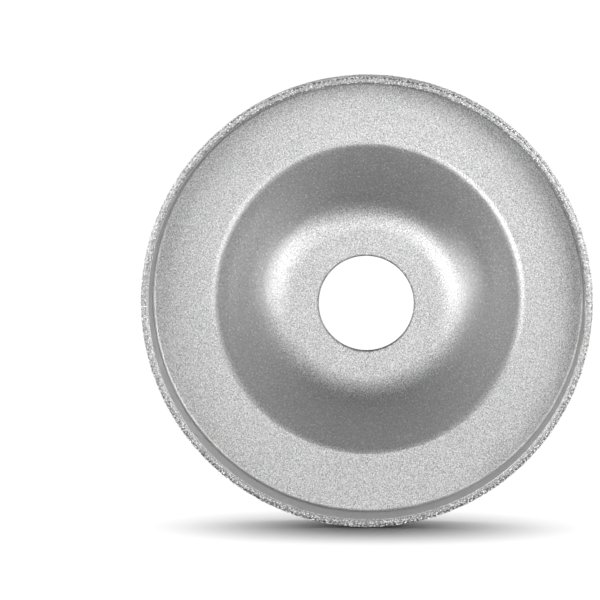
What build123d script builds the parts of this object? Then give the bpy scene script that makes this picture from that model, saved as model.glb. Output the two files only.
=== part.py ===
from build123d import *
from math import atan2, cos, pi, sin, tan
import os

# Diamond grinding wheel: a cup-shaped wheel for an angle grinder.
# A pressed steel disc carries a brazed nickel layer on its working side, and the layer holds diamond
# crystals. Millimetres, +Z up. The wheel's axis is Y: the mounting side looks along -Y and the working
# face along +Y. The origin is the centre of the bore, halfway through the plate.

# Overall sizes
grit_od = 96.0            # over the crystal tips on the outer wall
wheel_depth = 14.6        # hub seat to the crystal tips on the working face

# Pressed steel body
sheet_t = 1.4             # plate thickness, the same all over
arbor_d = 20.0            # spindle register that the wheel goes on
arbor_clearance = 0.05    # radial room round the register
hub_corner_r = 19.7       # where the hub seat and the cone would meet if the bend were sharp
hub_bend_r = 9.5          # outside radius of the bend between the hub seat and the cone
floor_corner_r = 32.7     # where the cone and the floor would meet if the bend were sharp
floor_bend_r = 2.5        # inside radius of the bend between the cone and the floor
rim_bend_r = 0.6          # inside radius of the bend between the floor and the rim wall
hub_proud = 0.8           # the hub seat stands this far behind the rim's cut edge
bore_edge_r = 0.2         # rounding left on the punched bore
rim_edge_r = 0.2          # rounding left on the rim's cut edge

# Brazed layer
bond_t = 0.15             # thickness of the nickel layer
bond_lip = 0.4            # it runs this far down the dish's cone, past the bend
bare_edge = 0.2           # bright steel left at the inside of the rim's cut edge

# Diamond crystals
crystal_w = 0.56          # width across a crystal at the layer
crystal_tip_w = 0.25      # width across its blunt tip
crystal_h = 0.28          # how far it stands out of the layer
crystal_pitch = 4.2       # spacing of the crystals, along a ring and between rings
spin_step = 137.5         # each crystal is turned this much further than the last one

# Sizes that follow
arbor_bore_r = arbor_d / 2 + arbor_clearance
coat_t = bond_t + crystal_h
wall_outer_r = grit_od / 2 - coat_t
wall_inner_r = wall_outer_r - sheet_t
hub_back_y = -sheet_t / 2
floor_y = hub_back_y + wheel_depth - coat_t - sheet_t
rim_end_y = hub_back_y + hub_proud
cone_angle = atan2(floor_y - hub_back_y, floor_corner_r - hub_corner_r)


def strip(path, thickness):
    """The flat section between a path and its copy, one thickness to the left of it."""
    return Face(path.wire().offset_2d(thickness, side=Side.LEFT, closed=True))


def turned(section):
    """A section in the XY plane, turned once round the wheel's axis."""
    return revolve(section, axis=Axis.Y, revolution_arc=360)


def back_line():
    """The mounting side of the plate, from the bore out to the rim's cut edge."""
    return FilletPolyline(
        (arbor_bore_r, hub_back_y),
        (hub_corner_r, hub_back_y),
        (floor_corner_r, floor_y),
        (wall_inner_r, floor_y),
        (wall_inner_r, rim_end_y),
        radius=[hub_bend_r, floor_bend_r, rim_bend_r],
    )


def coated_line():
    """The working side of the plate, from the dish's cone to the inside of the rim's cut edge."""
    half_turn = tan(cone_angle / 2)
    corner = (floor_corner_r - sheet_t * half_turn, floor_y + sheet_t)
    reach = (floor_bend_r + sheet_t) * half_turn + bond_lip
    return FilletPolyline(
        (corner[0] - reach * cos(cone_angle), corner[1] - reach * sin(cone_angle)),
        corner,
        (wall_outer_r, floor_y + sheet_t),
        (wall_outer_r, rim_end_y),
        (wall_inner_r + bare_edge, rim_end_y),
        radius=[floor_bend_r + sheet_t, rim_bend_r + sheet_t, rim_edge_r],
    )


def steel_body():
    """One plate: punched, drawn to a dish with an upright rim, and tumbled to take off the burrs."""
    section = strip(back_line(), sheet_t)
    bore_corners = section.vertices().sort_by(Axis.X)[:2]
    section = section.fillet_2d(bore_edge_r, bore_corners)
    rim_corners = section.vertices().sort_by(Axis.X)[-4:].sort_by(Axis.Y)[:2]
    section = section.fillet_2d(rim_edge_r, rim_corners)
    return turned(section)


def bond_layer():
    """Nickel braze, run over the working face, the shoulder, the outer wall and the rim's edge."""
    return turned(strip(coated_line(), bond_t))


def crystal():
    """The part of a blunt crystal that stands out of the layer, with its flat on z = 0."""
    foot, tip = crystal_w / 2, crystal_tip_w / 2
    corners = [(x * foot, y * foot, 0) for x in (-1, 1) for y in (-1, 1)]
    corners += [(x * tip, y * tip, crystal_h) for x in (-1, 1) for y in (-1, 1)]
    return ConvexPolyhedron(corners)


def ring_of_crystals(stone, seat, radius, row):
    """One ring of evenly spaced crystals; every other ring is turned by half a space."""
    count = 4 * max(1, round(2 * pi * radius / crystal_pitch / 4))
    turns = [(k + row % 2 / 2) * 360 / count for k in range(count)]
    return [Rot(0, turn, 0) * seat * Rot(0, 0, spin_step * k) * stone for k, turn in enumerate(turns)]


def crystals_between(line, start, end):
    """Rings of crystals between two distances along the coated side's outline."""
    stone = crystal()
    rows = max(1, round((end - start) / crystal_pitch))
    stones = []
    for row in range(rows):
        at = (start + (row + 0.5) / rows * (end - start)) / line.length
        along = line.tangent_at(at)
        outward = Vector(-along.Y, along.X, 0)
        foot = line.position_at(at) + outward * bond_t
        seat = Plane(origin=foot, z_dir=outward).location
        stones += ring_of_crystals(stone, seat, foot.X, row)
    return Compound(stones)


def grit_groups():
    """The crystals of each zone of the layer, by the name of their node."""
    line = coated_line()
    ends = [0]
    for edge in line.edges().sort_by(line):
        ends.append(ends[-1] + edge.length)
    lip, bend, face, shoulder, wall, edge_round, rim_edge = zip(ends, ends[1:])
    return {
        "face_grit": crystals_between(line, bend[0], face[1]),
        "shoulder_grit": crystals_between(line, *shoulder),
        "wall_grit": crystals_between(line, *wall),
        "rim_edge_grit": crystals_between(line, *rim_edge),
    }


os.makedirs("parts", exist_ok=True)
pieces = {"steel_body": steel_body(), "bond_layer": bond_layer(), **grit_groups()}
for name, piece in pieces.items():
    export_step(piece, f"parts/{name}.step")
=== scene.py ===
import random
from math import atan2, cos, pi, radians, sin, tan

import bmesh
import bpy
from mathutils import Euler, Matrix, Vector, noise


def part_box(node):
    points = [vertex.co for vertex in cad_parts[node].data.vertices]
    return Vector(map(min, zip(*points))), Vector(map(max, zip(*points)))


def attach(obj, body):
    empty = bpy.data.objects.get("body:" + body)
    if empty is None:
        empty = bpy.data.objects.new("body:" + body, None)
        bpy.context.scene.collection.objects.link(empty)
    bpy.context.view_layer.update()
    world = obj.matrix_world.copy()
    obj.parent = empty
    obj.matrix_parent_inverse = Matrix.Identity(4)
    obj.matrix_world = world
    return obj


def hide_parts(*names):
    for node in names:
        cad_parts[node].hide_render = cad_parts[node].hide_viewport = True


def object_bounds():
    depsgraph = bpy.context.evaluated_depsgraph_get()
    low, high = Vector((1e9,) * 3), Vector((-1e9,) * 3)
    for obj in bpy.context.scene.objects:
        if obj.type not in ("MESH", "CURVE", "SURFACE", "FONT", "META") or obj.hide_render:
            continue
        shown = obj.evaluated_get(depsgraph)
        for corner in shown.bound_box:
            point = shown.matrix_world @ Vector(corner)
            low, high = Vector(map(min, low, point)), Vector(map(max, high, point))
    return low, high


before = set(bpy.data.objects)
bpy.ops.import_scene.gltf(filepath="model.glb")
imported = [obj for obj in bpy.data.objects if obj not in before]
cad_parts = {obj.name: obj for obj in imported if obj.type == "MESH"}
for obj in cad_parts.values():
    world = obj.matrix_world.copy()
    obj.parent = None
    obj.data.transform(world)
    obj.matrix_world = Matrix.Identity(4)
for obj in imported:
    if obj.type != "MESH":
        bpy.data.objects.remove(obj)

cad_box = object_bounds()
mm = 0.001

# Camera: a long lens a little under a metre away, just above and to the right of the wheel's axis.
# It looks past the wheel's centre, so the wheel stands to the right of the middle of the frame.
azimuth, elevation, reach = radians(2.46), radians(5.18), 951.5 * mm
aside, above_axis = 14.0 * mm, 0.63 * mm
back = Vector((sin(azimuth) * cos(elevation), -cos(azimuth) * cos(elevation), sin(elevation)))
camera = bpy.data.objects.new("camera", bpy.data.cameras.new("camera"))
bpy.context.collection.objects.link(camera)
camera.rotation_mode = "QUATERNION"
camera.rotation_quaternion = (-back).to_track_quat("-Z", "Y")
sideways, upwards = (camera.rotation_quaternion @ Vector(v) for v in ((1, 0, 0), (0, 1, 0)))
camera.location = back * reach - sideways * aside + upwards * above_axis
camera.data.lens = 270
camera.data.clip_start, camera.data.clip_end = 0.01, 50
bpy.context.scene.camera = camera


# Table: a plain sheet of pale cloth. Round the wheel's foot it is a dim cloth lit by one lamp that fades out
# to glowing white: a painted shadow patch, with the wheel's real cast shadow inside it. The wheel itself is
# lit back by a darker cloth, so its lower half stays darker than its top.
class Wire:
    """A node's output socket; arithmetic on it adds Math nodes to the same material."""

    def __init__(self, tree, socket=None):
        self.tree, self.socket = tree, socket

    def node(self, kind, settings=None, **inputs):
        """Adds a node. Inputs go by name, with _ for a space, or by number as i0, i1 and so on."""
        made = self.tree.nodes.new(kind)
        for name, value in (settings or {}).items():
            setattr(made, name, value)
        for name, value in inputs.items():
            socket = made.inputs[int(name[1:])] if name[1:].isdigit() else made.inputs[name.replace("_", " ")]
            if isinstance(value, Wire):
                self.tree.links.new(value.socket, socket)
            else:
                socket.default_value = value
        return made

    def out(self, made, name=0):
        return Wire(self.tree, made.outputs[name])

    def feed(self, node, name):
        self.tree.links.new(self.socket, node.inputs[name])

    def math(self, operation, *values):
        named = {f"i{i}": v for i, v in enumerate(values)}
        return self.out(self.node("ShaderNodeMath", {"operation": operation}, **named))

    def rise(self, start, end, shape="SMOOTHSTEP"):
        """0 on the far side of start, 1 past end, and a slope between them."""
        return self.out(self.node("ShaderNodeMapRange", {"interpolation_type": shape},
                                  Value=self, From_Min=start, From_Max=end))

    def grain(self, scale, detail, roughness):
        """Noise from 0 to 1 over these coordinates, scale to the metre."""
        return self.out(self.node("ShaderNodeTexNoise", Vector=self, Scale=scale, Detail=detail,
                                  Roughness=roughness))

    def greys(self, dark, light):
        """A grey that goes from one stop to the other; each stop is a value and its brightness."""
        made = self.node("ShaderNodeValToRGB", Fac=self)
        for stop, (place, grey) in zip(made.color_ramp.elements, (dark, light)):
            stop.position, stop.color = place, (grey, grey, grey, 1)
        return self.out(made)

    def __add__(self, other):
        return self.math("ADD", self, other)

    def __sub__(self, other):
        return self.math("SUBTRACT", self, other)

    def __rsub__(self, other):
        return self.math("SUBTRACT", other, self)

    def __mul__(self, other):
        return self.math("MULTIPLY", self, other)

    __radd__, __rmul__ = __add__, __mul__


def new_finish(name):
    """A new material, a place on it (its object's coordinates) and its surface shader."""
    finish = bpy.data.materials.new(name)
    finish.use_nodes = True
    wire = Wire(finish.node_tree)
    return finish, wire.out(wire.node("ShaderNodeTexCoord"), "Object"), wire.tree.nodes["Principled BSDF"]


foot_z = cad_box[0].z
shape = bmesh.new()
bmesh.ops.create_grid(shape, x_segments=1, y_segments=1, size=12, matrix=Matrix.Translation((0, 0, foot_z)))
table = bpy.data.objects.new("table", bpy.data.meshes.new("table"))
shape.to_mesh(table.data)
shape.free()
bpy.context.collection.objects.link(table)
cloth, where, surface = new_finish("white_table")
cloth.node_tree.nodes.remove(surface)
# Painted shadow: within about 50 mm of the foot the dim near cloth shows, fading out to the glowing white far
# cloth.
shadow_patch = where.out(where.node("ShaderNodeMapping", Vector=where,
                                    Location=(0, -3 * mm, 0), Scale=(0.93, 1.5, 0)))
from_foot = where.out(where.node("ShaderNodeVectorMath", {"operation": "LENGTH"}, i0=shadow_patch), "Value")
near_cloth = where.node("ShaderNodeBsdfDiffuse", Color=(0.6, 0.6, 0.6, 1))
far_cloth = where.node("ShaderNodeEmission", Color=(1, 1, 1, 1), Strength=1.05)
dark_cloth = where.node("ShaderNodeBsdfDiffuse", Color=(0.55, 0.55, 0.55, 1))
pale = where.node("ShaderNodeMixShader", i0=from_foot.rise(0, 50 * mm),
                  i1=where.out(near_cloth), i2=where.out(far_cloth))
seen = where.out(where.node("ShaderNodeLightPath"), "Is Camera Ray")
both = where.node("ShaderNodeMixShader", i0=seen, i1=where.out(dark_cloth), i2=where.out(pale))
where.out(both).feed(cloth.node_tree.nodes["Material Output"], "Surface")
table.data.materials.append(cloth)

# Room: white behind the wheel, and almost dark for the light that reaches it.
world = bpy.data.worlds.new("room")
world.use_nodes = True
bpy.context.scene.world = world
air = Wire(world.node_tree)
seen = air.out(air.node("ShaderNodeLightPath"), "Is Camera Ray")
dim = air.node("ShaderNodeBackground", Color=(0.02, 0.02, 0.02, 1), Strength=1.0)
white = air.node("ShaderNodeBackground", Color=(1, 1, 1, 1), Strength=1.05)
both = air.node("ShaderNodeMixShader", i0=seen, i1=air.out(dim), i2=air.out(white))
air.out(both).feed(world.node_tree.nodes["World Output"], "Surface")
bpy.context.scene.view_settings.view_transform = "Standard"


# Lamps: banks of square softboxes in front and behind, in two rows to the left and right, and one at
# each side. They light only the wheel. One lamp above and behind it makes the table's shadow.
def softbox(name, round_to, up, watts, away=0.9, wide=0.45, high=0.45):
    """A softbox that faces the wheel: degrees round to the right of the front, degrees up, watts."""
    turn, climb = radians(round_to), radians(up)
    place = Vector((sin(turn) * cos(climb), -cos(turn) * cos(climb), sin(climb))) * away
    lamp = bpy.data.lights.new(name, "AREA")
    lamp.shape, lamp.size, lamp.size_y, lamp.energy = "RECTANGLE", wide, high, watts
    holder = bpy.data.objects.new(name, lamp)
    holder.location = place
    holder.rotation_euler = (-place).to_track_quat("-Z", "Y").to_euler()
    holder.visible_camera = False
    bpy.context.collection.objects.link(holder)
    return holder


unlit = bpy.data.collections.new("unlit_from_the_sides")
unlit.objects.link(table)
unlit.collection_objects[0].light_linking.link_state = "EXCLUDE"
inner, outer = 25, 50
bank = []
for side, start, share in (("front", 0, 1), ("rear", 180, 0.7)):
    bank.append(softbox(f"{side}_left_inner_low", start - inner, -8, 1.25 * share))
    bank.append(softbox(f"{side}_left_inner_high", start - inner, 10, 1.4 * share))
    bank.append(softbox(f"{side}_left_outer_low", start - outer, -8, 2.4 * share))
    bank.append(softbox(f"{side}_left_outer_high", start - outer, 20, 1.8 * share))
    bank.append(softbox(f"{side}_right_inner_low", start + inner, -8, 1.65 * share))
    bank.append(softbox(f"{side}_right_inner_high", start + inner, 10, 2.7 * share))
    bank.append(softbox(f"{side}_right_outer_low", start + outer, -8, 3.7 * share))
bank.append(softbox("left_side", -90, 12, 1.6))
bank.append(softbox("right_side", 90, 12, 2.3))
for lamp in bank:
    lamp.light_linking.receiver_collection = unlit
lit = bpy.data.collections.new("lit_from_above")
lit.objects.link(table)
above = softbox("above", 180, 62, 4.0, away=0.8, wide=0.6, high=0.5)
above.light_linking.receiver_collection = lit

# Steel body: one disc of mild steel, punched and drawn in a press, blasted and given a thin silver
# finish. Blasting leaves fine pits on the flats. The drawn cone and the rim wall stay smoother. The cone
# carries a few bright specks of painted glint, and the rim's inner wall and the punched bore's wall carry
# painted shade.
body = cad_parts["steel_body"]
finish, where, surface = new_finish("blasted_silver_steel")
axes = where.node("ShaderNodeSeparateXYZ", Vector=where)
x, y, z = (where.out(axes, name) for name in "XYZ")
across = where.math("SQRT", x * x + z * z)
on_cone = across.rise(20 * mm, 21.6 * mm) * (1 - across.rise(31.5 * mm, 33.5 * mm))
# at_wall marks the rim's inner wall and the crease at its foot. There the pits are fainter, and the colour
# below is darkened as painted shade, which also hides the crease's highlight.
at_wall = across.rise(45.5 * mm, 45.9 * mm) * y.rise(0.3 * mm, 0.7 * mm)
# at_bore marks the bore's wall and the edge round it, whose colour below is darkened as painted shade.
at_bore = across.rise(10.5 * mm, 10.2 * mm, "LINEAR")
turned = where.out(where.node("ShaderNodeMapping", Vector=where, Rotation=(0.6, 0.4, 0.9)))
pits = turned.grain(4500, 2, 0.6) - 0.5
mottle = where.grain(900, 3, 0.6)
cloud = where.grain(60, 2, 0.5)
glint = where.grain(2600, 1, 0.5)
speck = pits * (1 - on_cone * 0.5 - at_wall * 0.6)
# Painted glints: sparse bright specks added to the colour on the cone.
spark = where.math("MAXIMUM", glint - 0.6, 0) * 4 * on_cone
tone = 0.62 + speck * 2.6 + spark + (mottle - 0.5) * 0.12 + (cloud - 0.5) * 0.06
shade = (tone - at_wall * 0.3 - at_bore * 0.5).greys((0, 0.15), (1, 1))
relief = where.node("ShaderNodeBump", Height=speck + mottle * 0.3, Strength=0.45, Distance=0.06 * mm)
shade.feed(surface, "Base Color")
(pits * 0.3 + 0.47).feed(surface, "Roughness")
where.out(relief).feed(surface, "Normal")
surface.inputs["Metallic"].default_value = 0.85
body.data.materials.clear()
body.data.materials.append(finish)

# Bond layer: nickel braze that melts in a furnace, wets the steel and creeps up round each crystal.
# It covers the working face, the shoulder, the outer wall and the rim's edge, and it sets lumpy. Its
# outline is a chain of flats and round bends, from the lip on the cone to the rim's bare inner edge.
steel_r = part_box("steel_body")[1].x
bond_low, bond_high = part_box("bond_layer")
bond_t = bond_high.x - steel_r
sheet_t = 1.4 * mm
hub_face_y, floor_y = -0.7 * mm, 12.07 * mm
hub_corner_r, floor_corner_r = 19.7 * mm, 32.7 * mm
cone_angle = atan2(floor_y - hub_face_y, floor_corner_r - hub_corner_r)
bend_r = 2.5 * mm + sheet_t + bond_t
shoulder_r = 0.6 * mm + sheet_t + bond_t
edge_r = 0.2 * mm + bond_t
lip = 0.4 * mm
bare_r = steel_r - sheet_t + 0.2 * mm
corner_r = floor_corner_r - (sheet_t + bond_t) * tan(cone_angle / 2)
wall_r, face_y, rim_y = bond_high.x, bond_high.y, bond_low.y
bend_reach = bend_r * tan(cone_angle / 2)
coat_start = (corner_r - (bend_reach + lip) * cos(cone_angle), face_y - (bend_reach + lip) * sin(cone_angle))
runs = {
    "lip": (lip, 0),
    "bend": (bend_r * cone_angle, -cone_angle),
    "face": (wall_r - shoulder_r - corner_r - bend_reach, 0),
    "shoulder": (shoulder_r * pi / 2, -pi / 2),
    "wall": (face_y - shoulder_r - rim_y - edge_r, 0),
    "edge": (edge_r * pi / 2, -pi / 2),
    "rim": (wall_r - edge_r - bare_r, 0),
}


def coat_at(s):
    """Radius, height along the axis and outward direction of the layer, s along its outline."""
    (r, y), heading = coat_start, cone_angle
    for length, turn in runs.values():
        step = min(max(s, 0), length)
        if turn:
            curve, after = length / turn, heading + turn * step / length
            r, y = r + curve * (sin(after) - sin(heading)), y + curve * (cos(heading) - cos(after))
            heading = after
        else:
            r, y = r + step * cos(heading), y + step * sin(heading)
        s -= length
    return r, y, Vector((-sin(heading), cos(heading), 0))


def reach_of(first, last):
    """Distances along the outline where a stretch of runs starts and ends."""
    names, lengths = list(runs), [length for length, turn in runs.values()]
    return sum(lengths[:names.index(first)]), sum(lengths[:names.index(last) + 1])


sectors = 20


def copy_round(shape):
    """Copies what was made for one sector until it goes all the way round the wheel."""
    sector = shape.verts[:] + shape.edges[:] + shape.faces[:]
    bmesh.ops.spin(shape, geom=sector, cent=(0, 0, 0), axis=(0, 1, 0), dvec=(0, 0, 0),
                   angle=2 * pi * (sectors - 1) / sectors, steps=sectors - 1, use_duplicate=True)


def finish_piece(name, shape, finish, replaced=None):
    """Makes a shape an object that stands for a piece of the wheel."""
    piece = bpy.data.objects.new(name, bpy.data.meshes.new(name))
    shape.to_mesh(piece.data)
    shape.free()
    bpy.context.collection.objects.link(piece)
    piece.data.materials.append(finish)
    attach(piece, "root")
    if replaced:
        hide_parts(replaced)


finish, where, surface = new_finish("nickel_braze")
grain = where.grain(2600, 3, 0.6)
relief = where.node("ShaderNodeBump", Height=grain, Strength=0.6, Distance=0.05 * mm)
grain.greys((0.3, 0.24), (0.7, 0.7)).feed(surface, "Base Color")
(grain * 0.4 + 0.2).feed(surface, "Roughness")
where.out(relief).feed(surface, "Normal")
surface.inputs["Metallic"].default_value = 0.9

rows, steps = 92, 1000
coat_length = reach_of("lip", "rim")[1]
shape = bmesh.new()
outline = []
for row in range(rows + 1):
    r, y = coat_at(coat_length * row / rows)[:2]
    outline.append(shape.verts.new((r, y, 0)))
ends = []
for s in (0, coat_length):
    r, y, outward = coat_at(s)
    ends.append(shape.verts.new(Vector((r, y, 0)) - outward * bond_t))
chain = [ends[0]] + outline + [ends[1]]
edges = [shape.edges.new(pair) for pair in zip(chain, chain[1:])]
bmesh.ops.spin(shape, geom=chain + edges, cent=(0, 0, 0), axis=(0, 1, 0), dvec=(0, 0, 0),
               angle=2 * pi / sectors, steps=steps // sectors, use_duplicate=False)
copy_round(shape)
bmesh.ops.remove_doubles(shape, verts=shape.verts, dist=0.01 * mm)
bmesh.ops.recalc_face_normals(shape, faces=shape.faces)
shape.normal_update()
for v in shape.verts:
    lump = noise.noise(v.co * 2200) * 0.07 * mm + noise.noise(v.co * 5000) * 0.03 * mm
    v.co += v.normal * lump
for face in shape.faces:
    face.smooth = True
finish_piece("brazed_layer", shape, finish, "bond_layer")

# Diamond crystals: blunt stones about half a millimetre across, sprinkled at random, half sunk in the
# braze and wetted by it, so they glint like silver sand. Finer stones fill the gaps between coarse ones.
finish, where, surface = new_finish("brazed_diamond_grit")
stone_tone = where.out(where.node("ShaderNodeTexVoronoi", Vector=where, Scale=2200.0), "Color")
tone = where.out(where.node("ShaderNodeSeparateColor", Color=stone_tone))
film = where.grain(5000, 2, 0.6)
relief = where.node("ShaderNodeBump", Height=film, Strength=0.4, Distance=0.03 * mm)
(tone * 0.6 + film * 0.5).greys((0.25, 0.44), (0.52, 1)).feed(surface, "Base Color")
(film * 0.35 + 0.25).feed(surface, "Roughness")
where.out(relief).feed(surface, "Normal")
surface.inputs["Metallic"].default_value = 0.5

tip_height = cad_box[1].x - wall_r
tip_share = 0.62
sunk, proud = -0.1 * mm, 0.05 * mm
chance = random.Random(41)


def blunt_stone(shape, place):
    bmesh.ops.create_icosphere(shape, subdivisions=1, radius=0.5, matrix=place)


def block_stone(shape, place):
    bmesh.ops.create_cube(shape, size=0.7, matrix=place)


def sprinkle(name, first, last, pitch, small, large, stone, replaced=None):
    """Stones over a stretch of the layer: one sector is laid, then copied round the wheel.

    Each stone sits near the layer's surface, with its tip (tip_share of its width) inside the wheel's box.
    """
    shape = bmesh.new()
    start, end = reach_of(first, last)
    rows = round((end - start) / pitch)
    for row in range(rows):
        middle_r = coat_at(start + (row + 0.5) * pitch)[0]
        for k in range(max(1, round(middle_r * 2 * pi / sectors / pitch))):
            s = start + (row + chance.random()) * (end - start) / rows
            wide = chance.uniform(small, large)
            s = min(max(s, wide / 2), coat_length - wide / 2)
            r, y, outward = coat_at(s)
            per_row = max(1, round(r * 2 * pi / sectors / pitch))
            turn = (k + chance.random()) / per_row * 2 * pi / sectors
            lift = min(tip_height - wide * tip_share, chance.uniform(sunk, proud))
            centre = Vector((r, y, 0)) + outward * lift
            stretch = [wide * chance.uniform(0.75, 1.0) for axis in range(3)]
            tilt = Euler([chance.uniform(0, 2 * pi) for axis in range(3)]).to_matrix().to_4x4()
            place = Matrix.Rotation(turn, 4, "Y") @ Matrix.Translation(centre) @ tilt
            stone(shape, place @ Matrix.Diagonal((*stretch, 1)))
    copy_round(shape)
    finish_piece(name, shape, finish, replaced)


for zone, first, last in (("face", "lip", "face"), ("shoulder", "shoulder", "shoulder"),
                          ("wall", "wall", "wall"), ("rim_edge", "edge", "rim")):
    sprinkle(f"{zone}_grit_coarse", first, last, 0.62 * mm, 0.42 * mm, 0.62 * mm, blunt_stone, f"{zone}_grit")
    sprinkle(f"{zone}_grit_fine", first, last, 0.5 * mm, 0.28 * mm, 0.42 * mm, block_stone)
